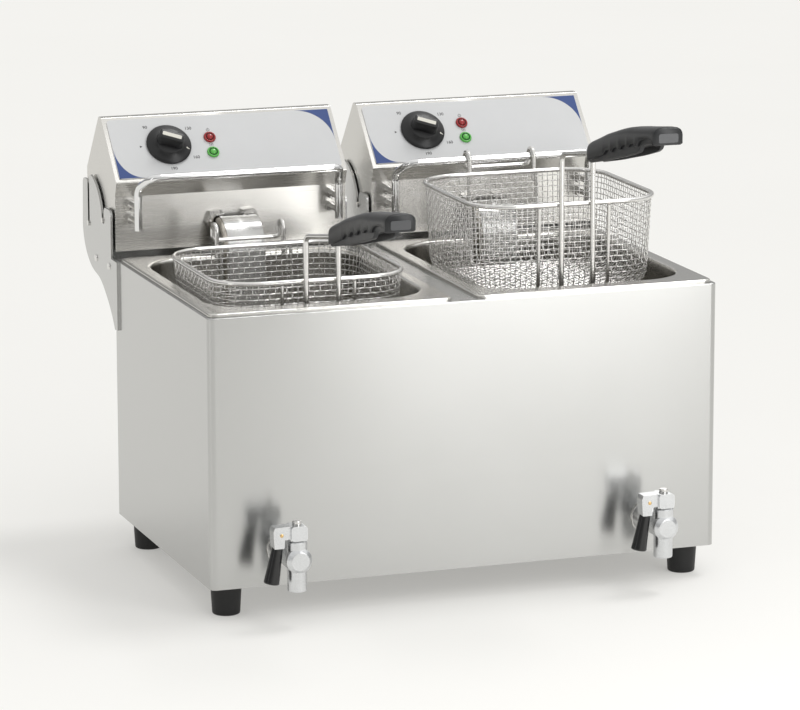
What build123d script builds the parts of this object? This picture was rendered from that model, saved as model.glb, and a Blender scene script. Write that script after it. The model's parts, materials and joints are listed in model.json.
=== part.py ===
"""Twin-tank counter-top deep fryer: a folded steel cabinet with two drop-in tanks and drain taps,
two lift-off control heads that tilt on rear brackets, and two wire frying baskets.

Row frame: millimetres, +Z up, -Y towards the cook, origin on the table under the centre of the
whole object. Sketch planes made by level(), facing() and side_view() measure depth from the
cabinet's front face, so a depth of 0 is the front face and a larger depth is nearer the back.
"""
import os
from math import atan2, cos, degrees, hypot, radians, sin, sqrt

from build123d import *

os.makedirs("parts", exist_ok=True)

# ---------------------------------------------------------------- driving dimensions (mm)
SIDES = {"left": -1, "right": 1}
FRONT_Y = -142.0  # row Y of the cabinet's front face
SHEET = 1.2  # stainless sheet used for every folded panel
GAP = 0.3  # clearance between pieces that move past each other
FIT = 0.06  # radial running clearance of a pin in its hole

CABINET_W = 560.0
CABINET_D = 345.6
CABINET_BASE_Z = 33.0
CABINET_TOP_Z = 317.0
CABINET_CORNER_R = 7.0
FOOT_R = 16.5
FOOT_TAPER = 2.0
FOOT_X = 255.0
FOOT_DEPTHS = (30.0, 318.0)

TANK_X = 145.0  # centre of each tank and head
RIM_Z = 320.5
RIM_W = 264.2
RIM_D = 329.4
RIM_DEPTH = 170.5  # depth of the rim's centre behind the front face
RIM_R = 9.0
BOWL_W = 232.0
BOWL_D = 284.0
BOWL_DEPTH = 171.5
BOWL_R = 50.0
BOWL_FLOOR_Z = 170.0
BOWL_FLOOR_R = 18.0
BOWL_LIP_R = 4.0

TAP_X = 202.0
TAP_Z = 71.0
TAP_STEM_DEPTH = -45.0
TAP_BALL_R = 9.0
TAP_BORE_R = 5.5
TAP_STEM_R = 3.5
TAP_SPOUT_R = 10.0
TAP_SPOUT_BORE_R = 7.0
TAP_SPOUT_BORE_LENGTH = 18.0
TAP_SPOUT_Z = 38.0
TAP_NECK_Z = 91.0
TAP_FLANGE_R = 12.5
TAP_BOSS_R = 13.5
TAP_BOSS_DEPTH = -30.0
TAP_BOSS_LENGTH = 27.5
TAP_BOSS_BEVEL = 4.0
TAP_SCREW_R = 4.6
TAP_LEVER_TOP_Z = TAP_NECK_Z + 16.5
TAP_LEVER_T = 14.0
TAP_LEVER_BOSS = (17.0, 15.5, 20.0)  # width, height and length of the block on the stem
TAP_GRIP_TOP = (-20.7, 85.0)  # across from the tap's middle, and height
TAP_GRIP_FOOT = (-27.7, 47.5)
TAP_GRIP_R = (5.6, 8.3)  # at its top and at its foot
WASHER_R = 18.0
WASHER_T = 2.5
DRAIN_R = 9.5
DRAIN_DEPTH = 72.0

HEAD_X = 146.85
HEAD_W = 263.1
HEAD_BASE_Z = 325.0
HEAD_FACE = 348.6  # depth of the head's upright front
HEAD_BACK = 461.0
PANEL_FOOT = (342.5, 401.0)  # depth and height of the sloping panel's lower edge
PANEL_HEAD = (400.0, 464.0)  # and of its upper edge
PANEL_SIZE = hypot(PANEL_HEAD[0] - PANEL_FOOT[0], PANEL_HEAD[1] - PANEL_FOOT[1])
HEAD_LIP_Z = 385.0  # where the front starts to lean out towards the panel
HEAD_CREST = (411.0, 464.0)  # where the flat top ends, and where the upright back begins
HEAD_BACK_TOP_Z = 401.0
FASCIA_T = 0.8
FASCIA_MARGIN = 4.5
KNOB_AT = (-63.5, 2.0)  # across and up the panel from its middle
LAMPS = {"power": (-15.5, 9.0), "ready": (-15.5, -10.5)}
KNOB_R = 25.0
KNOB_RIM_T = 2.0
KNOB_CONE_T = 5.0
KNOB_BAR = (32.0, 13.0, 17.5)  # length, width and height of the raised bar
KNOB_TURN = -22.0  # turn of the bar at rest
SPINDLE_R = 3.0
SPINDLE_LENGTH = 14.0
LAMP_FLANGE_R = 6.75
LAMP_DOME_T = 3.2
LAMP_BARREL_R = 5.2
LAMP_BARREL_LENGTH = 22.0
THERMOSTAT = (46.0, 34.0, 26.0)
TERMINALS = (58.0, 22.0, 16.0)
TERMINALS_X = 30.0  # from the head's middle
TERMINALS_DEPTH = 430.0
TERMINAL_SCREW_R = 2.6
GLAND_X = 80.0  # from the head's middle
GLAND_Z = 366.0
GLAND_HOLE_R = 8.0
GLAND_NUT_R = 11.0
GLAND_NUT_T = 7.0
GLAND_CAP_R = 10.0
GLAND_CAP_T = 12.0
CORD_HOLE_R = 4.2

PIVOT = (442.4, 341.2)  # depth and height of the tilt axis
PIVOT_R = 3.2
FRONT_PIN = (384.5, 353.7)
FRONT_PIN_R = 3.0
PIN_OUT = 1.5  # how far a pin stands out of its bracket plate
PIN_IN = 12.0  # how far it reaches into the head
BRACKET_T = 2.5
BRACKET_INNER_X = 14.0
BRACKET_ARC_R = 56.0  # middle tongue, concentric with the tilt axis
RIVETS = ((362.7, 306.5), (414.4, 306.6))
RIVET_R = 2.5
RIVET_HEAD_R = 4.2
RIVET_HEAD_T = 1.2
TRAY_Z = 300.0
TRAY_BACK_DEPTH = 424.0
TRAY_FLANGE = 13.0
TRAY_REAR_WALL = 19.0

ELEMENT_R = 4.0
ELEMENT_X = 18.5
ELEMENT_EXIT_Z = 354.0
ELEMENT_DEPTHS = (98.0, 236.0, 264.0)  # outer front bend, inner back bend, back bar
ELEMENT_LEGS_X = (33.0, 88.0)
NUT_R = 12.4
NUT_T = 7.5
NUT_COLLAR_R = 8.6
NUT_COLLAR_T = 3.2
GUARD_FOOT_Z = 262.0
GUARD_GAP = 0.1
GUARD_W = 41.0
GUARD_SHIFT = 2.5
ELEMENT_LEAD_DEPTH = 305.0
ELEMENT_BEND_R = 30.0
ELEMENT_Z = 228.0
RAIL_R = 4.2
RAIL_X = 114.0
RAIL_LEG_DEPTH = 319.0
RAIL_BAR_DEPTH = 292.0
RAIL_BAR_Z = 413.0
RAIL_FOOT_Z = 352.0
RAIL_LEG_TOP_Z = 398.0
RAIL_BAR_INSET = 8.0
RAIL_BOLT_Z = (361.0, 376.0)
RAIL_SCREW_R = 2.5
RAIL_BOLT_R = 3.6
RAIL_NUT_R = 6.2
RAIL_NUT_T = 8.0

BASKET_W = 209.0  # centre line of the rim wire, square
BASKET_R = 46.0
BASKET_H = 100.0
BASKET_FLOOR_R = 20.0
BASKET_TAPER = 4.0
BASKET_WALL = 0.8
RIM_WIRE_R = 2.5
RIB_R = 2.0
RIB_X = 39.4
HANDLE_WIRE_R = 2.75
HANDLE_WIRE_X = 17.6
HANDLE_FOOT = 92.0  # how far the handle wires run down the front
HANDLE_TIP = (6.0, 75.0, 12.0)  # half spread, reach forward and rise past the bend
HOOK_WIRE_R = 2.4
HOOK_X = 37.6
HOOK_FOOT = 12.0
HOOK_TOP = 23.0
HOOK_BAR = 4.6
HOOK_REACH = 16.0
BASKETS = {"left": (159.0, 338.3), "right": (176.0, 398.0)}  # depth of the middle, height of the rim
HANDLE_X = {"left": 3.2, "right": 2.0}  # sideways offset of each handle from its basket's middle
HANDLE_RISE = {"left": 48.0, "right": 55.0}  # height of the handle wires' bend above the rim
GRIP_DROP = {"left": 7.5, "right": 0.0}  # how much lower the grip sits on its wires
HOOK_SHIFT = {"left": -5.6, "right": 0.0}  # sideways offset of each hook from its basket's middle
# Sections of the grip: forward of the rim's centre line, above the rim, width and height.
GRIP_SECTIONS = ((60, 63.5, 25, 21), (106, 77.3, 29, 27.5), (156, 89.5, 33, 29.5), (206, 100.8, 34, 25),
                 (249, 110.3, 33, 19))
GRIP_EDGE_R = 6.0


# ---------------------------------------------------------------- planes and small helpers
def level(z):
    """Horizontal plane at height z: local x is row X, local y is depth."""
    return Plane(origin=(0, FRONT_Y, z), x_dir=(1, 0, 0), z_dir=(0, 0, 1))


def facing(depth, x=0.0, z=0.0):
    """Upright plane that faces the cook: local x is row X, local y is up."""
    return Plane(origin=(x, FRONT_Y + depth, z), x_dir=(1, 0, 0), z_dir=(0, -1, 0))


def side_view(x):
    """Plane seen from the right: local x is depth, local y is height."""
    return Plane(origin=(x, FRONT_Y, 0), x_dir=(0, 1, 0), z_dir=(1, 0, 0))


def panel_plane(head_x, at=(0.0, 0.0), lift=0.0):
    """Plane on a head's sloping panel: local x is row X, local y is up the slope."""
    rise = PANEL_HEAD[1] - PANEL_FOOT[1]
    run = PANEL_HEAD[0] - PANEL_FOOT[0]
    slope = Vector(0, run / PANEL_SIZE, rise / PANEL_SIZE)
    normal = Vector(0, -rise / PANEL_SIZE, run / PANEL_SIZE)
    middle = Vector(head_x, FRONT_Y + PANEL_FOOT[0] + run / 2, PANEL_FOOT[1] + rise / 2)
    origin = middle + Vector(at[0], 0, 0) + slope * at[1] + normal * lift
    return Plane(origin=origin, x_dir=(1, 0, 0), z_dir=normal)


def on_frame(x, depth, z):
    """Row coordinates of a point given by its depth behind the front face."""
    return (x, FRONT_Y + depth, z)


def finish(part, name):
    """Label a finished piece and write it under the same name."""
    part.label = name
    export_step(part, f"parts/{name}.step")


def round_wire(points, radii, wire_r):
    """One round wire or tube along straight runs joined by tangent arcs."""
    with BuildPart() as wire:
        with BuildLine() as route:
            FilletPolyline(*points, radius=radii)
        with BuildSketch(Plane(origin=route.line @ 0, z_dir=route.line % 0)):
            Circle(wire_r)
        sweep(path=route.line)
    return wire.part


def tub(top_z, width, depth_size, depth, x, corner_r, floor_z, floor_r):
    """Solid block with rounded corners and a rounded floor, as big as a tank's inside."""
    with BuildPart() as block:
        with BuildSketch(level(top_z)):
            with Locations((x, depth)):
                RectangleRounded(width, depth_size, corner_r)
        extrude(amount=floor_z - top_z)
        fillet(block.faces().sort_by(Axis.Z)[0].edges(), floor_r)
    return block.part


# ---------------------------------------------------------------- cabinet
def make_cabinet_shell():
    """Front, sides and top deck folded from one sheet, with openings for tanks and drains."""
    with BuildPart() as shell:
        with BuildSketch(level(CABINET_BASE_Z)):
            with Locations((0, CABINET_D / 2)):
                Rectangle(CABINET_W, CABINET_D)
            fillet(vertices().group_by(Axis.Y)[0], CABINET_CORNER_R)
        extrude(amount=CABINET_TOP_Z - CABINET_BASE_Z)
        with BuildSketch(level(CABINET_BASE_Z)):
            with Locations((0, SHEET + CABINET_D / 2)):
                Rectangle(CABINET_W - 2 * SHEET, CABINET_D)
            fillet(vertices().group_by(Axis.Y)[0], CABINET_CORNER_R - SHEET)
        extrude(amount=CABINET_TOP_Z - CABINET_BASE_Z - SHEET, mode=Mode.SUBTRACT)
        with BuildSketch(level(CABINET_TOP_Z)):
            with Locations((-TANK_X, BOWL_DEPTH), (TANK_X, BOWL_DEPTH)):
                clearance = 2 * (BOWL_LIP_R + SHEET + GAP)
                RectangleRounded(BOWL_W + clearance, BOWL_D + clearance, BOWL_R)
        extrude(amount=-3 * SHEET, mode=Mode.SUBTRACT)
        with BuildSketch(facing(0)):
            with Locations((-TAP_X, TAP_Z), (TAP_X, TAP_Z)):
                Circle(DRAIN_R + GAP)
        extrude(amount=3 * SHEET, both=True, mode=Mode.SUBTRACT)
        top_corners = shell.faces().sort_by(Axis.Z)[-1].outer_wire().edges()
        fillet(top_corners.group_by(Axis.Y)[0], 1.0)
    finish(shell.part, "cabinet_shell")


def make_back_panel():
    """Flat rear panel with two rows of cooling slots."""
    inside_w = CABINET_W - 2 * SHEET
    height = CABINET_TOP_Z - SHEET - CABINET_BASE_Z
    with BuildPart() as panel:
        with BuildSketch(facing(CABINET_D, z=CABINET_BASE_Z + height / 2)):
            Rectangle(inside_w, height)
            for row in (-1, 1):
                with Locations((0, row * height / 4)):
                    with GridLocations(24, 0, 12, 1):
                        SlotOverall(34, 5, rotation=90, mode=Mode.SUBTRACT)
        extrude(amount=SHEET)
    finish(panel.part, "cabinet_back_panel")


def make_base_pan():
    """Bottom sheet that closes the cabinet and carries the feet."""
    inside_d = CABINET_D - 2 * SHEET
    with BuildPart() as pan:
        with BuildSketch(level(CABINET_BASE_Z)):
            with Locations((0, CABINET_D / 2)):
                Rectangle(CABINET_W - 2 * SHEET, inside_d)
                fillet(vertices().group_by(Axis.Y)[0], CABINET_CORNER_R - SHEET)
                with GridLocations(70, 60, 6, 2):
                    SlotOverall(44, 6, mode=Mode.SUBTRACT)
        extrude(amount=SHEET)
    finish(pan.part, "cabinet_base_pan")


def make_feet():
    """Four tapered rubber feet under the corners."""
    with BuildPart() as feet:
        with BuildSketch(level(CABINET_BASE_Z)):
            for depth in FOOT_DEPTHS:
                with Locations((-FOOT_X, depth), (FOOT_X, depth)):
                    Circle(FOOT_R)
        taper = degrees(atan2(FOOT_TAPER, CABINET_BASE_Z))
        extrude(amount=-CABINET_BASE_Z, taper=taper)
        fillet(feet.edges().group_by(Axis.Z)[0], 2.0)
    finish(feet.part, "rubber_feet")


# ---------------------------------------------------------------- tanks and drains
def make_tank(side, sign):
    """Deep-drawn tank: turned-down rim, rounded bowl and a drain hole at the front."""
    x = sign * TANK_X
    bowl_outside = tub(RIM_Z, BOWL_W + 2 * SHEET, BOWL_D + 2 * SHEET, BOWL_DEPTH, x,
                       BOWL_R + SHEET, BOWL_FLOOR_Z - SHEET, BOWL_FLOOR_R + SHEET)
    bowl_inside = tub(RIM_Z, BOWL_W, BOWL_D, BOWL_DEPTH, x, BOWL_R, BOWL_FLOOR_Z, BOWL_FLOOR_R)
    with BuildPart() as tank:
        with BuildSketch(level(RIM_Z)):
            with Locations((x, RIM_DEPTH)):
                RectangleRounded(RIM_W, RIM_D, RIM_R)
        extrude(amount=CABINET_TOP_Z - RIM_Z)
        fillet(tank.faces().sort_by(Axis.Z)[-1].edges(), 2.0)
        with BuildSketch(level(CABINET_TOP_Z)):
            with Locations((x, RIM_DEPTH)):
                RectangleRounded(RIM_W - 2 * SHEET, RIM_D - 2 * SHEET, RIM_R - SHEET)
        extrude(amount=RIM_Z - SHEET - CABINET_TOP_Z, mode=Mode.SUBTRACT)
        add(bowl_outside)
        under_rim = tank.edges().filter_by_position(Axis.Z, RIM_Z - SHEET - 0.01, RIM_Z - SHEET + 0.01)
        near_bowl = [edge for edge in under_rim if abs(edge.center().X - x) < BOWL_W / 2 + 2 * SHEET
                     and abs(edge.center().Y - FRONT_Y - BOWL_DEPTH) < BOWL_D / 2 + 2 * SHEET]
        fillet(near_bowl, BOWL_LIP_R - SHEET)
        add(bowl_inside, mode=Mode.SUBTRACT)
        mouth = tank.faces().sort_by(Axis.Z)[-1].inner_wires()[0]
        fillet(mouth.edges(), BOWL_LIP_R)
        with BuildSketch(level(BOWL_FLOOR_Z)):
            with Locations((sign * TAP_X, DRAIN_DEPTH)):
                Circle(DRAIN_R - 2 * SHEET)
        extrude(amount=-3 * SHEET, mode=Mode.SUBTRACT)
    finish(tank.part, f"tank_{side}")


def make_drain_elbows():
    """Tube from each tank floor down and forward to the tap on the front panel."""
    with BuildPart() as elbows:
        for sign in SIDES.values():
            x = sign * TAP_X
            top = on_frame(x, DRAIN_DEPTH, BOWL_FLOOR_Z - SHEET)
            bend = on_frame(x, DRAIN_DEPTH, TAP_Z)
            outlet = on_frame(x, 0, TAP_Z)
            with BuildLine() as route:
                FilletPolyline(top, bend, outlet, radius=26)
            with BuildSketch(Plane(origin=top, z_dir=(0, 0, -1))):
                Circle(DRAIN_R)
                Circle(DRAIN_R - 2 * SHEET, mode=Mode.SUBTRACT)
            sweep(path=route.line)
    finish(elbows.part, "drain_elbows")


def make_tap_washers():
    """Dished washers between the front panel and each tap."""
    with BuildPart() as washers:
        with BuildSketch(facing(0)):
            with Locations((-TAP_X, TAP_Z), (TAP_X, TAP_Z)):
                Circle(WASHER_R)
                Circle(DRAIN_R + GAP, mode=Mode.SUBTRACT)
        extrude(amount=WASHER_T)
        fillet(washers.faces().sort_by(Axis.Y)[0:2].edges().filter_by(GeomType.CIRCLE), 0.8)
    finish(washers.part, "tap_washers")


def make_tap_body(side, sign):
    """Cast angle valve: boss facing forward, spout down, neck up, with a ball seat inside."""
    x = sign * TAP_X
    seat = on_frame(x, TAP_STEM_DEPTH, TAP_Z)
    with BuildPart() as body:
        with BuildSketch(facing(-WASHER_T, x, TAP_Z)):
            Circle(TAP_FLANGE_R)
        extrude(amount=TAP_BOSS_LENGTH)
        with BuildSketch(facing(TAP_BOSS_DEPTH, x, TAP_Z)):
            Circle(TAP_BOSS_R)
        extrude(amount=TAP_BOSS_LENGTH)
        cap = body.faces().sort_by(Axis.Y)[0]
        chamfer(cap.edges(), TAP_BOSS_BEVEL)
        fillet(body.faces().sort_by(Axis.Y)[0].edges(), 1.0)
        with BuildSketch(level(TAP_SPOUT_Z)):
            with Locations((x, TAP_STEM_DEPTH)):
                Circle(TAP_SPOUT_R)
        extrude(amount=TAP_Z - TAP_SPOUT_Z)
        fillet(body.faces().sort_by(Axis.Z)[0].edges(), 1.2)
        with BuildSketch(level(TAP_Z)):
            with Locations((x, TAP_STEM_DEPTH)):
                Circle(TAP_SPOUT_R + 0.5)
        extrude(amount=TAP_NECK_Z - TAP_Z)
        chamfer(body.faces().sort_by(Axis.Z)[-1].edges(), 1.2)
        with Locations(seat):
            Sphere(TAP_BALL_R + GAP, mode=Mode.SUBTRACT)
        with BuildSketch(facing(-WASHER_T, x, TAP_Z)):
            Circle(TAP_BORE_R)
        extrude(amount=-TAP_STEM_DEPTH - WASHER_T, mode=Mode.SUBTRACT)
        with BuildSketch(level(TAP_SPOUT_Z)):
            with Locations((x, TAP_STEM_DEPTH)):
                Circle(TAP_SPOUT_BORE_R)
        extrude(amount=TAP_SPOUT_BORE_LENGTH, mode=Mode.SUBTRACT)
        with BuildSketch(level(TAP_SPOUT_Z)):
            with Locations((x, TAP_STEM_DEPTH)):
                Circle(TAP_BORE_R)
        extrude(amount=TAP_Z - TAP_SPOUT_Z, mode=Mode.SUBTRACT)
        with BuildSketch(level(TAP_Z)):
            with Locations((x, TAP_STEM_DEPTH)):
                Circle(TAP_STEM_R + FIT)
        extrude(amount=2 * TAP_NECK_Z - 2 * TAP_Z, mode=Mode.SUBTRACT)
    finish(body.part, f"tap_body_{side}")


def make_tap_ball(side, sign):
    """Valve ball with an L-shaped port, its stem, and the screw on top as a second solid."""
    x = sign * TAP_X
    with BuildPart() as ball:
        with Locations(on_frame(x, TAP_STEM_DEPTH, TAP_Z)):
            Sphere(TAP_BALL_R)
        with BuildSketch(level(TAP_Z)):
            with Locations((x, TAP_STEM_DEPTH)):
                Circle(TAP_STEM_R)
        extrude(amount=TAP_LEVER_TOP_Z - TAP_Z)
        with BuildSketch(level(TAP_Z - 2 * TAP_BALL_R)):
            with Locations((x, TAP_STEM_DEPTH)):
                Circle(TAP_BORE_R)
        extrude(amount=2 * TAP_BALL_R, mode=Mode.SUBTRACT)
        with BuildSketch(side_view(x)):
            with Locations((TAP_STEM_DEPTH, TAP_Z)):
                Circle(TAP_BORE_R - 1)
        extrude(amount=2 * TAP_BALL_R, mode=Mode.SUBTRACT)
        with BuildSketch(level(TAP_LEVER_TOP_Z)):
            with Locations((x, TAP_STEM_DEPTH)):
                Circle(TAP_SCREW_R)
        extrude(amount=4)
        fillet(ball.faces().sort_by(Axis.Z)[-1].edges(), 1.0)
    finish(ball.part, f"tap_ball_{side}")


def make_tap_lever(side, sign):
    """Cast lever on the stem: a bevelled boss, an arm to the left and a short drop for the grip."""
    x = sign * TAP_X
    base = TAP_NECK_Z + 1
    boss_w, boss_h, boss_length = TAP_LEVER_BOSS
    with BuildPart() as lever:
        with BuildSketch(facing(TAP_STEM_DEPTH - TAP_LEVER_T / 2, x)):
            with BuildLine():
                Polyline((9, base), (9.5, base + 12), (6, base + 15.5), (-9, base + 15.5),
                         (-25.5, base + 15), (-27, base + 11), (-26, base - 7), (-15.5, base - 7),
                         (-15, base + 2), (-9, base + 2.5), (-9, base), close=True)
            make_face()
            fillet(vertices(), 0.9)
        extrude(amount=-TAP_LEVER_T)
        with BuildSketch(facing(TAP_STEM_DEPTH - boss_length / 2, x, base + boss_h / 2)):
            RectangleRounded(boss_w, boss_h, 3)
        extrude(amount=-boss_length)
        with BuildSketch(level(base - 2)):
            with Locations((x, TAP_STEM_DEPTH)):
                Circle(TAP_STEM_R)
        extrude(amount=40, mode=Mode.SUBTRACT)
    finish(lever.part, f"tap_lever_{side}")


def make_tap_grip(side, sign):
    """Black tapered grip pushed on the lever's lower end."""
    x = sign * TAP_X
    top = Vector(on_frame(x + TAP_GRIP_TOP[0], TAP_STEM_DEPTH, TAP_GRIP_TOP[1]))
    foot = Vector(on_frame(x + TAP_GRIP_FOOT[0], TAP_STEM_DEPTH, TAP_GRIP_FOOT[1]))
    with BuildPart() as grip:
        with BuildSketch(Plane(origin=foot, z_dir=top - foot)):
            Circle(TAP_GRIP_R[1])
        with BuildSketch(Plane(origin=top, z_dir=top - foot)):
            Circle(TAP_GRIP_R[0])
        loft()
        fillet(grip.faces().sort_by(Axis.Z)[0].edges(), 1.5)
        fillet(grip.faces().sort_by(Axis.Z)[-1].edges(), 0.8)
    finish(grip.part, f"tap_grip_{side}")


# ---------------------------------------------------------------- rear brackets
def bracket_outline():
    """Side outline of a bracket plate with its three tongues and the two pin slots."""
    drop = FRONT_PIN[1] - FRONT_PIN_R - GAP
    slot_half = PIVOT_R + FIT
    arc_foot = (PIVOT[0] - sqrt(BRACKET_ARC_R**2 - (drop - PIVOT[1]) ** 2), drop)
    arc_mid = (PIVOT[0] - BRACKET_ARC_R * cos(radians(50)), PIVOT[1] + BRACKET_ARC_R * sin(radians(50)))
    arc_top = (PIVOT[0] - slot_half, PIVOT[1] + sqrt(BRACKET_ARC_R**2 - slot_half**2))
    with BuildSketch() as outline:
        with BuildLine():
            Line((465, 389), (468, 337))
            Spline((468, 337), (450, 304), (426, 292), (401, 287), (377, 274), (358, 259), (342, 240))
            Polyline((342, 240), (332, 241), (332, 316), (354, 316), (354, 369), (381, 369), (381, drop),
                     arc_foot)
            ThreePointArc(arc_foot, arc_mid, arc_top)
            Line(arc_top, (PIVOT[0] - slot_half, PIVOT[1]))
            ThreePointArc((PIVOT[0] - slot_half, PIVOT[1]), (PIVOT[0], PIVOT[1] - slot_half),
                          (PIVOT[0] + slot_half, PIVOT[1]))
            Polyline((PIVOT[0] + slot_half, PIVOT[1]), (PIVOT[0] + slot_half, 389), (465, 389))
        make_face()
        tongue_tips = [tip for tip in outline.vertices() if tip.Y > 365]
        fillet(tongue_tips, 6.0)
        with Locations(*RIVETS):
            Circle(RIVET_R, mode=Mode.SUBTRACT)
    return outline.sketch


def bracket_faces(sign):
    """Inner faces of one head's two bracket plates, as row X."""
    return sign * BRACKET_INNER_X, sign * (CABINET_W / 2 + BRACKET_T)


def make_bracket_plates(side, sign):
    """Pair of plates that carry one head; the inner one stands behind the back panel."""
    inner_x, outer_x = bracket_faces(sign)
    with BuildPart() as plates:
        for x in (inner_x, outer_x):
            with BuildSketch(side_view(x)):
                add(bracket_outline())
            extrude(amount=-sign * BRACKET_T)
        with BuildSketch(side_view(inner_x)):
            with Locations((CABINET_D - 20, 280)):
                Rectangle(40, 100)
        extrude(amount=-sign * BRACKET_T, mode=Mode.SUBTRACT)
    finish(plates.part, f"bracket_plates_{side}")


def make_bracket_trays():
    """Folded cross trays riveted between the plates behind the cabinet."""
    with BuildPart() as trays:
        for sign in SIDES.values():
            span = CABINET_W / 2 - BRACKET_INNER_X
            middle_x = sign * (CABINET_W / 2 + BRACKET_INNER_X) / 2
            depth_size = TRAY_BACK_DEPTH - CABINET_D
            middle_depth = CABINET_D + depth_size / 2
            with BuildSketch(level(TRAY_Z)):
                with Locations((middle_x, middle_depth)):
                    Rectangle(span, depth_size)
            extrude(amount=TRAY_FLANGE)
            with BuildSketch(level(TRAY_Z + SHEET)):
                with Locations((middle_x, middle_depth + SHEET)):
                    Rectangle(span - 2 * SHEET, depth_size)
            extrude(amount=TRAY_FLANGE, mode=Mode.SUBTRACT)
            with BuildSketch(level(TRAY_Z)):
                with Locations((middle_x, TRAY_BACK_DEPTH - SHEET / 2)):
                    Rectangle(span, SHEET)
            extrude(amount=TRAY_REAR_WALL)
        with BuildSketch(side_view(0)):
            with Locations(*RIVETS):
                Circle(RIVET_R)
        extrude(amount=CABINET_W, both=True, mode=Mode.SUBTRACT)
    finish(trays.part, "bracket_trays")


def make_bracket_rivets():
    """Two rivets through each plate and its tray flange."""
    with BuildPart() as rivets:
        for sign in SIDES.values():
            for face, outwards in ((sign * BRACKET_INNER_X, -sign), (sign * CABINET_W / 2, sign)):
                start = face - outwards * SHEET
                with BuildSketch(side_view(start)):
                    with Locations(*RIVETS):
                        Circle(RIVET_R)
                extrude(amount=outwards * (SHEET + BRACKET_T))
                with BuildSketch(side_view(face + outwards * BRACKET_T)):
                    with Locations(*RIVETS):
                        Circle(RIVET_HEAD_R)
                extrude(amount=outwards * RIVET_HEAD_T, taper=30)
    finish(rivets.part, "bracket_rivets")


# ---------------------------------------------------------------- heads
def make_head_housing(side, sign):
    """Folded head box, open underneath, with holes for everything that passes its walls."""
    x = sign * HEAD_X
    with BuildPart() as housing:
        with BuildSketch(side_view(x)):
            with BuildLine():
                Polyline((HEAD_FACE, HEAD_BASE_Z), (HEAD_FACE, HEAD_LIP_Z), PANEL_FOOT, PANEL_HEAD,
                         HEAD_CREST, (HEAD_BACK, HEAD_BACK_TOP_Z), (HEAD_BACK, HEAD_BASE_Z), close=True)
            make_face()
        extrude(amount=HEAD_W / 2, both=True)
        folds = housing.edges().filter_by(Axis.X).group_by(Axis.Z)[1:]
        for fold in folds:
            fillet(fold, 2.0)
        offset(amount=-SHEET, openings=housing.faces().sort_by(Axis.Z)[0])
        with BuildSketch(panel_plane(x)):
            with Locations(KNOB_AT):
                Circle(SPINDLE_R + 1)
            with Locations(*LAMPS.values()):
                Circle(LAMP_BARREL_R)
        extrude(amount=3 * SHEET, both=True, mode=Mode.SUBTRACT)
        with BuildSketch(facing(HEAD_FACE, x)):
            with Locations((-ELEMENT_X, ELEMENT_EXIT_Z), (ELEMENT_X, ELEMENT_EXIT_Z)):
                Circle(ELEMENT_R)
            for rail_x in (-RAIL_X, RAIL_X):
                with Locations((rail_x, RAIL_BOLT_Z[0]), (rail_x, RAIL_BOLT_Z[1])):
                    Circle(RAIL_SCREW_R)
        extrude(amount=3 * SHEET, both=True, mode=Mode.SUBTRACT)
        with BuildSketch(facing(HEAD_BACK, x + GLAND_X, GLAND_Z)):
            Circle(GLAND_HOLE_R)
        extrude(amount=3 * SHEET, both=True, mode=Mode.SUBTRACT)
        with BuildSketch(side_view(x)):
            with Locations(PIVOT):
                Circle(PIVOT_R + FIT)
            with Locations(FRONT_PIN):
                Circle(FRONT_PIN_R)
        extrude(amount=HEAD_W, both=True, mode=Mode.SUBTRACT)
    finish(housing.part, f"head_housing_{side}")


def make_head_base(side, sign):
    """Plate that closes the head underneath."""
    inside_w = HEAD_W - 2 * SHEET
    inside_d = HEAD_BACK - HEAD_FACE - 2 * SHEET
    with BuildPart() as base:
        with BuildSketch(level(HEAD_BASE_Z)):
            with Locations((sign * HEAD_X, (HEAD_BACK + HEAD_FACE) / 2)):
                Rectangle(inside_w, inside_d)
                with GridLocations(18, 0, 9, 1):
                    SlotOverall(40, 4, rotation=90, mode=Mode.SUBTRACT)
        extrude(amount=SHEET)
    finish(base.part, f"head_base_plate_{side}")


def make_fascia(side, sign):
    """Thin printed panel on the head's slope."""
    x = sign * HEAD_X
    with BuildPart() as fascia:
        with BuildSketch(panel_plane(x)):
            RectangleRounded(HEAD_W - 2 * FASCIA_MARGIN, PANEL_SIZE - 2 * FASCIA_MARGIN, 4)
            with Locations(KNOB_AT):
                Circle(SPINDLE_R + 1, mode=Mode.SUBTRACT)
            with Locations(*LAMPS.values()):
                Circle(LAMP_BARREL_R, mode=Mode.SUBTRACT)
        extrude(amount=FASCIA_T)
    finish(fascia.part, f"head_fascia_{side}")


def make_knob(side, sign):
    """Skirted knob with a raised bar, and its spindle down into the thermostat."""
    plane = panel_plane(sign * HEAD_X, KNOB_AT, FASCIA_T + GAP)
    with BuildPart() as knob:
        with BuildSketch(plane):
            Circle(KNOB_R)
        extrude(amount=KNOB_RIM_T)
        with BuildSketch(plane.offset(KNOB_RIM_T)):
            Circle(KNOB_R)
        extrude(amount=KNOB_CONE_T, taper=55)
        with BuildSketch(plane.offset(KNOB_RIM_T)):
            SlotOverall(KNOB_BAR[0], KNOB_BAR[1], rotation=KNOB_TURN)
        extrude(amount=KNOB_BAR[2], taper=4)
        with BuildSketch(plane):
            Circle(SPINDLE_R)
        extrude(amount=-SPINDLE_LENGTH)
    finish(knob.part, f"control_knob_{side}")


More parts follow.
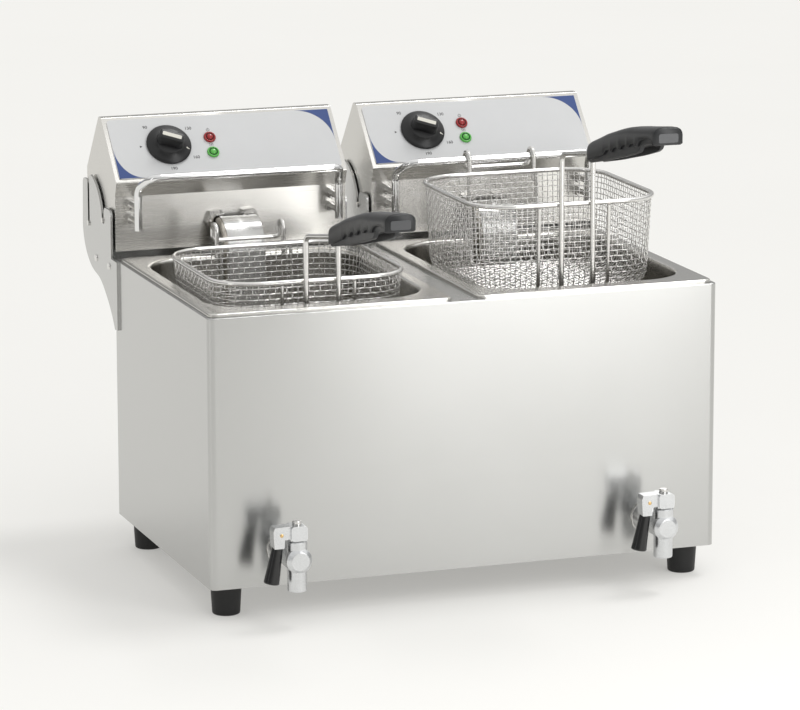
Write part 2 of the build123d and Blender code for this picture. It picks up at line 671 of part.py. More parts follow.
def make_lamp(side, sign, lamp):
    """Signal lamp: a domed lens with a flange on the panel and its barrel behind it."""
    plane = panel_plane(sign * HEAD_X, LAMPS[lamp], FASCIA_T)
    with BuildPart() as body:
        with BuildSketch(plane):
            Circle(LAMP_FLANGE_R)
        extrude(amount=LAMP_DOME_T, taper=14)
        with BuildSketch(plane):
            Circle(LAMP_BARREL_R)
        extrude(amount=-LAMP_BARREL_LENGTH)
    finish(body.part, f"lamp_{lamp}_{side}")


def make_thermostat(side, sign):
    """Thermostat behind the knob, with a bore for the spindle and a cut-out switch beside it."""
    plane = panel_plane(sign * HEAD_X, KNOB_AT, -SHEET)
    width, height, depth_size = THERMOSTAT
    with BuildPart() as thermostat:
        with BuildSketch(plane):
            RectangleRounded(width, height, 3)
        extrude(amount=-depth_size)
        with BuildSketch(plane):
            Circle(SPINDLE_R + FIT)
        extrude(amount=-SPINDLE_LENGTH - 2, mode=Mode.SUBTRACT)
        with BuildSketch(plane.offset(-depth_size)):
            with GridLocations(12, 16, 3, 2):
                Rectangle(6.3, 1)
        extrude(amount=-6)
    finish(thermostat.part, f"thermostat_{side}")


def make_terminal_block(side, sign):
    """Screw terminals on the base plate, beside the cable gland."""
    middle = (sign * HEAD_X + TERMINALS_X, TERMINALS_DEPTH)
    width, depth_size, height = TERMINALS
    with BuildPart() as block:
        with BuildSketch(level(HEAD_BASE_Z + SHEET)):
            with Locations(middle):
                Rectangle(width, depth_size)
        extrude(amount=height)
        with BuildSketch(level(HEAD_BASE_Z + SHEET + height)):
            with Locations(middle):
                with GridLocations(11, 11, 5, 2):
                    Circle(TERMINAL_SCREW_R)
        extrude(amount=-6, mode=Mode.SUBTRACT)
    finish(block.part, f"terminal_block_{side}")


def make_cable_gland(side, sign):
    """Cable gland on the head's back, bored for the supply cord."""
    x = sign * HEAD_X + GLAND_X
    with BuildPart() as gland:
        with BuildSketch(facing(HEAD_BACK - 2 * SHEET, x, GLAND_Z)):
            Circle(GLAND_HOLE_R)
        extrude(amount=-4 * SHEET)
        with BuildSketch(facing(HEAD_BACK, x, GLAND_Z)):
            RegularPolygon(GLAND_NUT_R, 6)
        extrude(amount=-GLAND_NUT_T)
        with BuildSketch(facing(HEAD_BACK + GLAND_NUT_T, x, GLAND_Z)):
            Circle(GLAND_CAP_R)
        extrude(amount=-GLAND_CAP_T)
        fillet(gland.faces().sort_by(Axis.Y)[-1].edges(), 4.0)
        with BuildSketch(facing(HEAD_BACK - 4 * SHEET, x, GLAND_Z)):
            Circle(CORD_HOLE_R)
        extrude(amount=-2 * (GLAND_NUT_T + GLAND_CAP_T), mode=Mode.SUBTRACT)
    finish(gland.part, f"cable_gland_{side}")


def make_pins(side, sign):
    """Tilt pins through the brackets' rear slots and stop pins through the front slots."""
    inner_x, outer_x = bracket_faces(sign)
    inner_end = inner_x - sign * (BRACKET_T + PIN_OUT)
    outer_end = outer_x + sign * PIN_OUT
    ends = ((inner_end, sign * (HEAD_X - HEAD_W / 2 + PIN_IN)),
            (outer_end, sign * (HEAD_X + HEAD_W / 2 - PIN_IN)))
    with BuildPart() as pivots:
        for end, inside in ends:
            with BuildSketch(side_view(end)):
                with Locations(PIVOT):
                    Circle(PIVOT_R)
            extrude(amount=inside - end)
    finish(pivots.part, f"pivot_pins_{side}")
    with BuildPart() as stops:
        for end, inside in ends:
            with BuildSketch(side_view(end)):
                with Locations(FRONT_PIN):
                    Circle(FRONT_PIN_R)
            extrude(amount=inside - end)
    finish(stops.part, f"front_pins_{side}")


# ---------------------------------------------------------------- heating element and rail
def element_route(x):
    """Route of one closed heating loop: down into the tank, out along four legs and back."""
    low = ELEMENT_Z
    near, middle, far = ELEMENT_DEPTHS
    inner, outer = ELEMENT_LEGS_X
    half = [(ELEMENT_X, HEAD_FACE + 8, ELEMENT_EXIT_Z), (ELEMENT_X, ELEMENT_LEAD_DEPTH, ELEMENT_EXIT_Z),
            (ELEMENT_X, ELEMENT_LEAD_DEPTH, low), (ELEMENT_X, far, low), (outer, far, low),
            (outer, near, low), (inner, near, low), (inner, middle, low)]
    mirrored = [(-px, depth, z) for px, depth, z in reversed(half)]
    return [on_frame(x + px, depth, z) for px, depth, z in half + mirrored]


def make_element(side, sign):
    """Sheathed heating element in one piece."""
    half_radii = [ELEMENT_BEND_R, 14.0, 14.0, 14.0, 20.0, 20.0, 14.0]
    radii = half_radii + half_radii[::-1]
    element = round_wire(element_route(sign * HEAD_X), radii, ELEMENT_R)
    finish(element, f"heating_element_{side}")


def make_element_nuts(side, sign):
    """Two hexagon nuts that clamp the element to the head."""
    x = sign * HEAD_X
    with BuildPart() as nuts:
        with BuildSketch(facing(HEAD_FACE)):
            with Locations((x - ELEMENT_X, ELEMENT_EXIT_Z), (x + ELEMENT_X, ELEMENT_EXIT_Z)):
                RegularPolygon(NUT_R, 6, rotation=8)
                Circle(ELEMENT_R, mode=Mode.SUBTRACT)
        extrude(amount=NUT_T)
        with BuildSketch(facing(HEAD_FACE - NUT_T)):
            with Locations((x - ELEMENT_X, ELEMENT_EXIT_Z), (x + ELEMENT_X, ELEMENT_EXIT_Z)):
                Circle(NUT_COLLAR_R)
                Circle(ELEMENT_R, mode=Mode.SUBTRACT)
        extrude(amount=NUT_COLLAR_T, taper=25)
    finish(nuts.part, f"element_nuts_{side}")


def make_element_guard(side, sign):
    """Curved sheet that follows the leads over the rim and down into the tank."""
    x = sign * HEAD_X + GUARD_SHIFT
    bend = (ELEMENT_LEAD_DEPTH + ELEMENT_BEND_R, ELEMENT_EXIT_Z - ELEMENT_BEND_R)
    inside_r = ELEMENT_BEND_R + ELEMENT_R + GUARD_GAP
    front = bend[0] - inside_r
    with BuildPart() as guard:
        with BuildSketch(side_view(x)):
            with BuildLine() as edge:
                CenterArc(bend, inside_r + SHEET, 92, 88)
                Line((front - SHEET, bend[1]), (front - SHEET, GUARD_FOOT_Z))
                Line((front - SHEET, GUARD_FOOT_Z), (front, GUARD_FOOT_Z))
                Line((front, GUARD_FOOT_Z), (front, bend[1]))
                inner = CenterArc(bend, inside_r, 92, 88)
                Line(inner @ 0, edge.line.edges()[0] @ 0)
            make_face()
        extrude(amount=GUARD_W / 2, both=True)
    finish(guard.part, f"element_guard_{side}")


def make_rail(side, sign):
    """Bent rod in front of the head that baskets hang from."""
    x = sign * HEAD_X
    half = [(RAIL_X, RAIL_LEG_DEPTH, RAIL_FOOT_Z), (RAIL_X, RAIL_LEG_DEPTH, RAIL_LEG_TOP_Z),
            (RAIL_X - RAIL_BAR_INSET, RAIL_BAR_DEPTH, RAIL_BAR_Z)]
    points = half + [(-px, depth, z) for px, depth, z in reversed(half)]
    route = [on_frame(x + px, depth, z) for px, depth, z in points]
    rail = round_wire(route, [14.0, 12.0, 12.0, 14.0], RAIL_R)
    finish(rail, f"basket_rail_{side}")


def make_rail_bolts(side, sign):
    """Four hexagon standoffs, two for each leg of the rail."""
    x = sign * HEAD_X
    length = HEAD_FACE - RAIL_LEG_DEPTH - RAIL_R
    with BuildPart() as bolts:
        for rail_x in (-RAIL_X, RAIL_X):
            for z in RAIL_BOLT_Z:
                with BuildSketch(facing(HEAD_FACE + 3 * SHEET, x + rail_x, z)):
                    Circle(RAIL_SCREW_R)
                extrude(amount=3 * SHEET)
                with BuildSketch(facing(HEAD_FACE, x + rail_x, z)):
                    RegularPolygon(RAIL_NUT_R, 6)
                extrude(amount=RAIL_NUT_T)
                with BuildSketch(facing(HEAD_FACE - RAIL_NUT_T, x + rail_x, z)):
                    Circle(RAIL_BOLT_R)
                extrude(amount=length - RAIL_NUT_T)
    finish(bolts.part, f"rail_bolts_{side}")


# ---------------------------------------------------------------- baskets
def make_basket_mesh(side, x, depth, rim_z):
    """Outer shape of the wire mesh as a thin tub, narrower at the bottom."""
    height = BASKET_H - RIM_WIRE_R
    with BuildPart() as mesh:
        for inset, mode in ((0.0, Mode.ADD), (BASKET_WALL, Mode.SUBTRACT)):
            size = BASKET_W + BASKET_WALL - 2 * inset
            with BuildPart(mode=mode) as shape:
                with BuildSketch(level(rim_z - RIM_WIRE_R)):
                    with Locations((x, depth)):
                        RectangleRounded(size, size, BASKET_R - inset)
                extrude(amount=inset - height, taper=degrees(atan2(BASKET_TAPER, height)))
                fillet(shape.faces().sort_by(Axis.Z)[0].edges(), BASKET_FLOOR_R - inset)
    finish(mesh.part, f"basket_mesh_{side}")


def make_basket_frame(side, x, depth, rim_z):
    """Rim wire and two U-shaped ribs under the mesh."""
    half = BASKET_W / 2
    floor_z = rim_z - BASKET_H - RIB_R
    outside = BASKET_WALL / 2 + RIB_R
    with BuildSketch(level(rim_z)) as loop:
        with Locations((x, depth)):
            RectangleRounded(BASKET_W, BASKET_W, BASKET_R)
    rim_route = loop.sketch.wires()[0]
    with BuildPart() as frame:
        with BuildSketch(Plane(origin=rim_route @ 0, z_dir=rim_route % 0)):
            Circle(RIM_WIRE_R)
        sweep(path=rim_route)
        for rib_x in (-RIB_X, RIB_X):
            top = half + outside
            foot = half + outside - BASKET_TAPER
            rib = [on_frame(x + rib_x, depth - top, rim_z - RIM_WIRE_R),
                   on_frame(x + rib_x, depth - foot, floor_z),
                   on_frame(x + rib_x, depth + foot, floor_z),
                   on_frame(x + rib_x, depth + top, rim_z - RIM_WIRE_R)]
            add(round_wire(rib, [BASKET_FLOOR_R + RIB_R] * 2, RIB_R))
    finish(frame.part, f"basket_frame_{side}")


def make_basket_wires(side, x, depth, rim_z):
    """Two handle wires at the front and the double hook at the back."""
    front = depth - BASKET_W / 2 - RIM_WIRE_R - HANDLE_WIRE_R
    hook_front = depth + BASKET_W / 2 + RIM_WIRE_R + HOOK_WIRE_R
    hook_back = hook_front + HOOK_REACH
    hook_top = rim_z + HOOK_TOP
    hook_foot = rim_z - HOOK_FOOT
    hook_bar = rim_z + HOOK_BAR
    hook_x = x + HOOK_SHIFT[side]
    handle_x = x + HANDLE_X[side]
    bend_z = rim_z + HANDLE_RISE[side]
    tip_x, tip_reach, tip_rise = HANDLE_TIP
    hook = [on_frame(hook_x - HOOK_X, hook_front, hook_foot), on_frame(hook_x - HOOK_X, hook_front, hook_top),
            on_frame(hook_x - HOOK_X, hook_back, hook_top), on_frame(hook_x - HOOK_X, hook_back, hook_bar),
            on_frame(hook_x + HOOK_X, hook_back, hook_bar), on_frame(hook_x + HOOK_X, hook_back, hook_top),
            on_frame(hook_x + HOOK_X, hook_front, hook_top), on_frame(hook_x + HOOK_X, hook_front, hook_foot)]
    with BuildPart() as wires:
        for sign in (-1, 1):
            handle = [on_frame(handle_x + sign * HANDLE_WIRE_X, front, rim_z - HANDLE_FOOT),
                      on_frame(handle_x + sign * HANDLE_WIRE_X, front, bend_z),
                      on_frame(handle_x + sign * tip_x, front - tip_reach, bend_z + tip_rise)]
            add(round_wire(handle, 9.0, HANDLE_WIRE_R))
        add(round_wire(hook, [7.0, 7.0, 5.0, 5.0, 7.0, 7.0], HOOK_WIRE_R))
    finish(wires.part, f"basket_wires_{side}")


def make_basket_grip(side, x, depth, rim_z):
    """Moulded grip, wider towards its free end and gently arched."""
    front = depth - BASKET_W / 2
    grip_x = x + HANDLE_X[side]
    rest_z = rim_z - GRIP_DROP[side]
    with BuildPart() as grip:
        for forward, above, width, height in GRIP_SECTIONS:
            with BuildSketch(facing(front - forward, grip_x, rest_z + above)):
                RectangleRounded(width, height, GRIP_EDGE_R)
        loft()
        fillet(grip.faces().sort_by(Axis.Y)[0].edges(), 2.5)
    finish(grip.part, f"basket_grip_{side}")


# ---------------------------------------------------------------- build every piece
make_cabinet_shell()
make_back_panel()
make_base_pan()
make_feet()
make_drain_elbows()
make_tap_washers()
make_bracket_trays()
make_bracket_rivets()
for side, sign in SIDES.items():
    make_tank(side, sign)
    make_tap_body(side, sign)
    make_tap_ball(side, sign)
    make_tap_lever(side, sign)
    make_tap_grip(side, sign)
    make_bracket_plates(side, sign)
    make_head_housing(side, sign)
    make_head_base(side, sign)
    make_fascia(side, sign)
    make_knob(side, sign)
    for lamp in LAMPS:
        make_lamp(side, sign, lamp)
    make_thermostat(side, sign)
    make_terminal_block(side, sign)
    make_cable_gland(side, sign)
    make_pins(side, sign)
    make_element(side, sign)
    make_element_nuts(side, sign)
    make_element_guard(side, sign)
    make_rail(side, sign)
    make_rail_bolts(side, sign)
    basket_depth, basket_rim_z = BASKETS[side]
    basket_x = sign * TANK_X
    make_basket_mesh(side, basket_x, basket_depth, basket_rim_z)
    make_basket_frame(side, basket_x, basket_depth, basket_rim_z)
    make_basket_wires(side, basket_x, basket_depth, basket_rim_z)
    make_basket_grip(side, basket_x, basket_depth, basket_rim_z)
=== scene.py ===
"""Looks of the twin-tank deep fryer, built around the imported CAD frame. Everything is in metres."""

import json
import math

import bpy
from mathutils import Matrix, Vector


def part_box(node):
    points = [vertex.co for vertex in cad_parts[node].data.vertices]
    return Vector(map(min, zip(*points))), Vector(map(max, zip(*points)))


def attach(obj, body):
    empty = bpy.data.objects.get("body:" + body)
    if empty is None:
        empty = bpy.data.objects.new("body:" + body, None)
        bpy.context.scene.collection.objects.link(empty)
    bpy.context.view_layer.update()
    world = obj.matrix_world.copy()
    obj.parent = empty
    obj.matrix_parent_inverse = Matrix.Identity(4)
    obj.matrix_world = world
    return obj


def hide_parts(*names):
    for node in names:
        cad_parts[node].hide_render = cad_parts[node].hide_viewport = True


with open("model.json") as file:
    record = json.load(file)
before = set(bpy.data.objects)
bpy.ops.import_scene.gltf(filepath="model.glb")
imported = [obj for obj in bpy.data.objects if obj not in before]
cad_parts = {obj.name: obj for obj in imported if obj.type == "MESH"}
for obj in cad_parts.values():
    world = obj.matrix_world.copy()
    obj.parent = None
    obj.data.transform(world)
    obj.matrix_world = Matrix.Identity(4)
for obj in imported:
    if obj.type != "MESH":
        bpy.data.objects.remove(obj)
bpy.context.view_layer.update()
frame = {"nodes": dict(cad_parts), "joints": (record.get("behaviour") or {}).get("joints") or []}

SIDES = ("left", "right")
MM = 0.001


# ---------------------------------------------------------------- node helpers
def new_material(name):
    """A node material, its tree and its Principled shader."""
    material = bpy.data.materials.new(name)
    material.use_nodes = True
    tree = material.node_tree
    return material, tree, tree.nodes["Principled BSDF"]


def add_node(tree, kind, settings=None, **inputs):
    """New node with properties from settings; inputs are values or sockets, by input name."""
    node = tree.nodes.new(kind)
    for key, value in (settings or {}).items():
        setattr(node, key, value)
    for key, value in inputs.items():
        socket = node.inputs[key.replace("_", " ")]
        if isinstance(value, bpy.types.NodeSocket):
            tree.links.new(value, socket)
        else:
            socket.default_value = value
    return node


def stretched(tree, scale):
    """Object coordinates scaled by three factors, for grain that runs along an axis."""
    coordinates = add_node(tree, "ShaderNodeTexCoord")
    return add_node(tree, "ShaderNodeMapping", Vector=coordinates.outputs["Object"],
                    Scale=scale).outputs["Vector"]


def noise(tree, vector, scale, detail=3.0, roughness=0.55):
    """Noise value from 0 to 1."""
    return add_node(tree, "ShaderNodeTexNoise", Vector=vector, Scale=scale, Detail=detail,
                    Roughness=roughness).outputs["Fac"]


def ramp(tree, factor, low, high):
    """Map 0..1 to low..high."""
    return add_node(tree, "ShaderNodeMapRange", Value=factor, To_Min=low, To_Max=high).outputs["Result"]


def set_colour_inputs(node, a, b):
    """Set the two colour inputs of a Mix node."""
    colour_sockets = [socket for socket in node.inputs if socket.type == "RGBA"]
    colour_sockets[0].default_value = (*a, 1)
    colour_sockets[1].default_value = (*b, 1)


def mixed(tree, factor, dark, light):
    """Colour between two colours, by a 0..1 socket."""
    node = tree.nodes.new("ShaderNodeMix")
    node.data_type = "RGBA"
    tree.links.new(factor, node.inputs[0])
    set_colour_inputs(node, dark, light)
    return [socket for socket in node.outputs if socket.type == "RGBA"][0]


def bump(tree, shader, height, strength, distance):
    """Add a bump to a shader from a height socket."""
    node = add_node(tree, "ShaderNodeBump", Height=height, Strength=strength, Distance=distance)
    tree.links.new(node.outputs["Normal"], shader.inputs["Normal"])


# ---------------------------------------------------------------- materials
EDGE_R = 0.6 * MM  # edges sharper than this are brightened: wear, and on sheet steel also a painted highlight
# Colour that sheet-steel edges blend to: partly wear, partly painted highlight along the edges.
SHEET_EDGE_WEAR_AND_HIGHLIGHT = (0.86, 0.86, 0.85)
WORN_CASTING = (0.93, 0.93, 0.93)


def grain_vector(tree, along, across):
    """Object coordinates for brushing along X, or along Y on faces that point sideways."""
    facing = add_node(tree, "ShaderNodeNewGeometry").outputs["Normal"]
    split = add_node(tree, "ShaderNodeSeparateXYZ", Vector=facing)
    sideways = add_node(tree, "ShaderNodeMath", {"operation": "ABSOLUTE"})
    tree.links.new(split.outputs["X"], sideways.inputs[0])
    pick = add_node(tree, "ShaderNodeMath", {"operation": "GREATER_THAN"})
    tree.links.new(sideways.outputs[0], pick.inputs[0])
    pick.inputs[1].default_value = 0.7
    mix = tree.nodes.new("ShaderNodeMix")
    mix.data_type = "VECTOR"
    vectors = [socket for socket in mix.inputs if socket.type == "VECTOR" and socket.name in "AB"]
    tree.links.new(pick.outputs[0], mix.inputs[0])
    tree.links.new(stretched(tree, (along, across, across)), vectors[0])
    tree.links.new(stretched(tree, (across, along, across)), vectors[1])
    return [socket for socket in mix.outputs if socket.type == "VECTOR"][0]


def edge_wear_and_highlight(tree, radius, amount):
    """0..amount socket that rises on edges sharper than the radius."""
    rounded = add_node(tree, "ShaderNodeBevel", {"samples": 4}, Radius=radius).outputs["Normal"]
    flat = add_node(tree, "ShaderNodeNewGeometry").outputs["Normal"]
    dot = add_node(tree, "ShaderNodeVectorMath", {"operation": "DOT_PRODUCT"})
    tree.links.new(rounded, dot.inputs[0])
    tree.links.new(flat, dot.inputs[1])
    return add_node(tree, "ShaderNodeMapRange", Value=dot.outputs["Value"], From_Min=0.995, From_Max=0.8,
                    To_Min=0.0, To_Max=amount).outputs["Result"]


def worn_and_highlit(tree, colour, radius, amount, bright):
    """Blend a colour socket towards a brighter colour on edges."""
    node = tree.nodes.new("ShaderNodeMix")
    node.data_type = "RGBA"
    colours = [socket for socket in node.inputs if socket.type == "RGBA"]
    tree.links.new(edge_wear_and_highlight(tree, radius, amount), node.inputs[0])
    tree.links.new(colour, colours[0])
    colours[1].default_value = (*bright, 1)
    return [socket for socket in node.outputs if socket.type == "RGBA"][0]


def brushed_metal(name, colour, roughness, anisotropy=0.0, grain=(4, 2600), contrast=0.03,
                  depth=0.0000012):
    """Satin sheet with fine grain lines, long one way and a fraction of a millimetre the other."""
    material, tree, shader = new_material(name)
    lines = noise(tree, grain_vector(tree, *grain), 1.0, detail=3.0)
    clouds = noise(tree, stretched(tree, (9, 9, 9)), 1.0, detail=3.0)
    both = add_node(tree, "ShaderNodeMath", {"operation": "MULTIPLY_ADD"})
    tree.links.new(clouds, both.inputs[0])
    both.inputs[1].default_value = 0.35
    tree.links.new(ramp(tree, lines, 0.0, 0.65), both.inputs[2])
    dark = tuple(channel - contrast for channel in colour)
    light = tuple(channel + contrast for channel in colour)
    shade = mixed(tree, both.outputs[0], dark, light)
    # Edges blend to a brighter colour: wear together with a painted edge highlight.
    tree.links.new(worn_and_highlit(tree, shade, EDGE_R, 0.5, SHEET_EDGE_WEAR_AND_HIGHLIGHT), shader.inputs["Base Color"])
    varied = ramp(tree, both.outputs[0], roughness - 0.04, roughness + 0.05)
    tree.links.new(varied, shader.inputs["Roughness"])
    shader.inputs["Metallic"].default_value = 1.0
    if anisotropy:
        shader.inputs["Anisotropic"].default_value = anisotropy
        shader.inputs["Anisotropic Rotation"].default_value = 0.25
        tangent = add_node(tree, "ShaderNodeTangent", {"direction_type": "RADIAL", "axis": "Z"})
        tree.links.new(tangent.outputs["Tangent"], shader.inputs["Tangent"])
    bump(tree, shader, lines, 0.2, depth)
    return material


def bright_metal(name, colour, roughness, scuff=0.06):
    """Polished or plated metal with faint cloudy wear."""
    material, tree, shader = new_material(name)
    clouds = noise(tree, stretched(tree, (60, 60, 60)), 1.0, detail=5.0)
    darker = tuple(channel * 0.88 for channel in colour)
    tree.links.new(mixed(tree, clouds, darker, colour), shader.inputs["Base Color"])
    tree.links.new(ramp(tree, clouds, roughness, roughness + scuff), shader.inputs["Roughness"])
    shader.inputs["Metallic"].default_value = 1.0
    bump(tree, shader, clouds, 0.08, 0.00002)
    return material


def cast_metal(name, colour, roughness):
    """Plated casting with a fine sandy grain and brighter edges."""
    material, tree, shader = new_material(name)
    grain = noise(tree, stretched(tree, (1600, 1600, 1600)), 1.0, detail=2.0)
    clouds = noise(tree, stretched(tree, (70, 70, 70)), 1.0)
    darker = tuple(channel * 0.85 for channel in colour)
    shade = mixed(tree, clouds, darker, colour)
    tree.links.new(worn_and_highlit(tree, shade, 2 * EDGE_R, 0.7, WORN_CASTING), shader.inputs["Base Color"])
    tree.links.new(ramp(tree, grain, roughness - 0.06, roughness + 0.1), shader.inputs["Roughness"])
    shader.inputs["Metallic"].default_value = 1.0
    bump(tree, shader, grain, 0.35, 0.00004)
    return material


def plastic(name, dark, light, roughness, grain_scale=900.0, depth=0.00003, coat=0.0, wear=0.12):
    """Moulded plastic or rubber with a fine texture, slight colour variation and rubbed edges."""
    material, tree, shader = new_material(name)
    grain = noise(tree, stretched(tree, (grain_scale,) * 3), 1.0, detail=2.0)
    clouds = noise(tree, stretched(tree, (35, 35, 35)), 1.0, detail=3.0)
    shade = mixed(tree, clouds, dark, light)
    rubbed = tuple(min(channel * 1.5 + 0.05, 0.95) for channel in light)
    tree.links.new(worn_and_highlit(tree, shade, 0.0005, wear, rubbed), shader.inputs["Base Color"])
    tree.links.new(ramp(tree, grain, roughness - 0.05, roughness + 0.08), shader.inputs["Roughness"])
    shader.inputs["Coat Weight"].default_value = coat
    bump(tree, shader, grain, 0.3, depth)
    return material


def lens(name, deep, bright, glow):
    """Translucent lamp lens, faintly lit from within."""
    material, tree, shader = new_material(name)
    clouds = noise(tree, stretched(tree, (300, 300, 300)), 1.0)
    tree.links.new(mixed(tree, clouds, deep, bright), shader.inputs["Base Color"])
    tree.links.new(ramp(tree, clouds, 0.18, 0.3), shader.inputs["Roughness"])
    shader.inputs["Emission Color"].default_value = (*bright, 1)
    shader.inputs["Emission Strength"].default_value = glow
    shader.inputs["Coat Weight"].default_value = 0.3
    bump(tree, shader, clouds, 0.1, 0.00002)
    return material


SHEET = brushed_metal("brushed_sheet", (0.53, 0.53, 0.52), 0.23, anisotropy=0.8, contrast=0.022)
# The head steel's slight warm tint is painted reflection of fried food in the baskets, which the scene
# leaves out.
HEAD_SHEET = brushed_metal("head_sheet", (0.62, 0.608, 0.58), 0.26, anisotropy=0.6, contrast=0.02)
TANK = brushed_metal("tank_steel", (0.62, 0.61, 0.58), 0.20, grain=(40, 40), contrast=0.01, depth=0.000001)
ELEMENT = brushed_metal("element_steel", (0.55, 0.52, 0.47), 0.24, grain=(200, 200))
STEEL = bright_metal("bright_steel", (0.74, 0.73, 0.71), 0.14)
CHROME = bright_metal("chrome_rod", (0.86, 0.86, 0.86), 0.05, scuff=0.04)
WIRE = bright_metal("plated_wire", (0.80, 0.79, 0.77), 0.18, scuff=0.10)
CAST = cast_metal("plated_casting", (0.74, 0.75, 0.76), 0.26)
GRIP = plastic("grip_plastic", (0.011, 0.012, 0.013), (0.017, 0.018, 0.0195), 0.36)
CAP = plastic("grip_cap", (0.06, 0.062, 0.066), (0.08, 0.082, 0.086), 0.3)
KNOB = plastic("knob_plastic", (0.004, 0.004, 0.0045), (0.008, 0.008, 0.009), 0.34)
BLACK = plastic("black_plastic", (0.002, 0.002, 0.002), (0.004, 0.004, 0.004), 0.16, coat=0.3, wear=0.02)
RUBBER = plastic("foot_rubber", (0.003, 0.003, 0.003), (0.006, 0.006, 0.006), 0.5, grain_scale=500.0,
                 wear=0.03)
INNER = plastic("inner_plastic", (0.55, 0.53, 0.47), (0.66, 0.64, 0.58), 0.45)
PRINT = plastic("fascia_print", (0.60, 0.605, 0.61), (0.63, 0.635, 0.64), 0.34, grain_scale=1400.0, wear=0.0)
BLUE = plastic("blue_print", (0.020, 0.054, 0.20), (0.026, 0.066, 0.24), 0.5, grain_scale=1400.0, wear=0.0)
INK = plastic("black_ink", (0.02, 0.02, 0.02), (0.035, 0.035, 0.035), 0.45, wear=0.0)
IVORY = plastic("ivory_insert", (0.66, 0.64, 0.57), (0.74, 0.72, 0.65), 0.40, wear=0.0)
BRASS = bright_metal("brass_pin", (0.80, 0.55, 0.25), 0.25)
RED_LENS = lens("red_lens", (0.22, 0.006, 0.008), (0.40, 0.014, 0.016), 0.04)
GREEN_LENS = lens("green_lens", (0.04, 0.26, 0.03), (0.12, 0.50, 0.08), 0.12)
# Darker copies of the lens colours for the lamps' grooves: painted shade in the recess.
RED_GROOVE_PAINTED_SHADE = plastic("red_groove_painted_shade", (0.07, 0.008, 0.008), (0.10, 0.010, 0.010), 0.4, wear=0.0)
GREEN_GROOVE_PAINTED_SHADE = plastic("green_groove_painted_shade", (0.006, 0.07, 0.014), (0.008, 0.10, 0.02), 0.4, wear=0.0)

CAD_MATERIALS = {
    "cabinet_": SHEET, "bracket_plates": SHEET, "bracket_trays": SHEET, "head_housing": HEAD_SHEET,
    "head_base": HEAD_SHEET, "tank_": TANK, "basket_frame": WIRE, "basket_wires": WIRE,
    "basket_rail": CHROME, "tap_body": CAST, "tap_lever": CAST, "tap_grip": BLACK,
    "rubber_feet": RUBBER, "head_fascia": PRINT, "thermostat": INNER, "terminal_block": INNER,
    "cable_gland": BLACK, "heating_element": ELEMENT, "element_nuts": STEEL, "element_guard": SHEET,
}


def dress_cad_nodes():
    """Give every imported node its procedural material."""
    for name, node in frame["nodes"].items():
        matches = [material for start, material in CAD_MATERIALS.items() if name.startswith(start)]
        material = matches[0] if matches else STEEL
        if not node.data.materials:
            node.data.materials.append(material)
        for index in range(len(node.data.materials)):
            node.data.materials[index] = material


# ---------------------------------------------------------------- mesh helpers
def make_object(name, vertices, faces, materials, smooth=True):
    """Mesh object from lists, with one or more materials."""
    mesh = bpy.data.meshes.new(name)
    mesh.from_pydata([tuple(v) for v in vertices], [], faces)
    for material in materials:
        mesh.materials.append(material)
    if smooth:
        mesh.polygons.foreach_set("use_smooth", [True] * len(mesh.polygons))
    mesh.validate()
    mesh.update()
    piece = bpy.data.objects.new(name, mesh)
    bpy.context.scene.collection.objects.link(piece)
    return piece


def loft_faces(rings, count, closed_ring=True, cap_start=True, cap_end=True):
    """Faces that join equal rings of vertices in order, with flat caps."""
    faces = []
    for ring in range(rings - 1):
        for i in range(count if closed_ring else count - 1):
            j = (i + 1) % count
            a = ring * count
            b = a + count
            faces.append((a + i, a + j, b + j, b + i))
    if cap_start:
        faces.append(tuple(reversed(range(count))))
    if cap_end:
        faces.append(tuple(range((rings - 1) * count, rings * count)))
    return faces


def tube(points, radius, sides=6, closed=False):
    """Vertices and faces of a round wire through the points."""
    count = len(points)
    vertices = []
    side = None
    for index, point in enumerate(points):
        before = points[index - 1] if index or closed else point
        after = points[(index + 1) % count] if index < count - 1 or closed else point
        along = (after - before).normalized()
        if side is None:
            side = along.orthogonal().normalized()
        side = (side - along * side.dot(along)).normalized()
        up = along.cross(side)
        for step in range(sides):
            angle = 2 * math.pi * step / sides
            vertices.append(point + (side * math.cos(angle) + up * math.sin(angle)) * radius)
    faces = loft_faces(count, sides, cap_start=not closed, cap_end=not closed)
    if closed:
        last = (count - 1) * sides
        offset = closing_offset(vertices, last, sides)
        for i in range(sides):
            j = (i + 1) % sides
            faces.append((last + i, last + j, (j + offset) % sides, (i + offset) % sides))
    return vertices, faces


def closing_offset(vertices, last, sides):
    """How far to turn a closed tube's first ring so that it meets its last."""
    return min(range(sides), key=lambda k: (vertices[last] - vertices[k]).length)


def join_tubes(tubes):
    """One vertex and face list from several."""
    vertices, faces = [], []
    for tube_vertices, tube_faces in tubes:
        start = len(vertices)
        vertices.extend(tube_vertices)
        faces.extend(tuple(i + start for i in face) for face in tube_faces)
    return vertices, faces


def revolve(profile, steps=64):
    """Vertices and faces of (radius, height) points turned about local Z."""
    vertices = []
    for radius, height in profile:
        for step in range(steps):
            angle = 2 * math.pi * step / steps
            vertices.append(Vector((radius * math.cos(angle), radius * math.sin(angle), height)))
    return vertices, loft_faces(len(profile), steps)


def sharpen(piece, degrees=35):
    """Keep edges sharper than an angle crisp under smooth shading."""
    piece.data.set_sharp_from_angle(angle=math.radians(degrees))


# ---------------------------------------------------------------- woven basket mesh
WIRE_R = 0.55 * MM
WALL_PITCH = 6.1 * MM
CORNER_R = 46.0 * MM
TAPER = 4.0 * MM
FLOOR_R = 20.0 * MM
PERIMETER_WIRES = 124


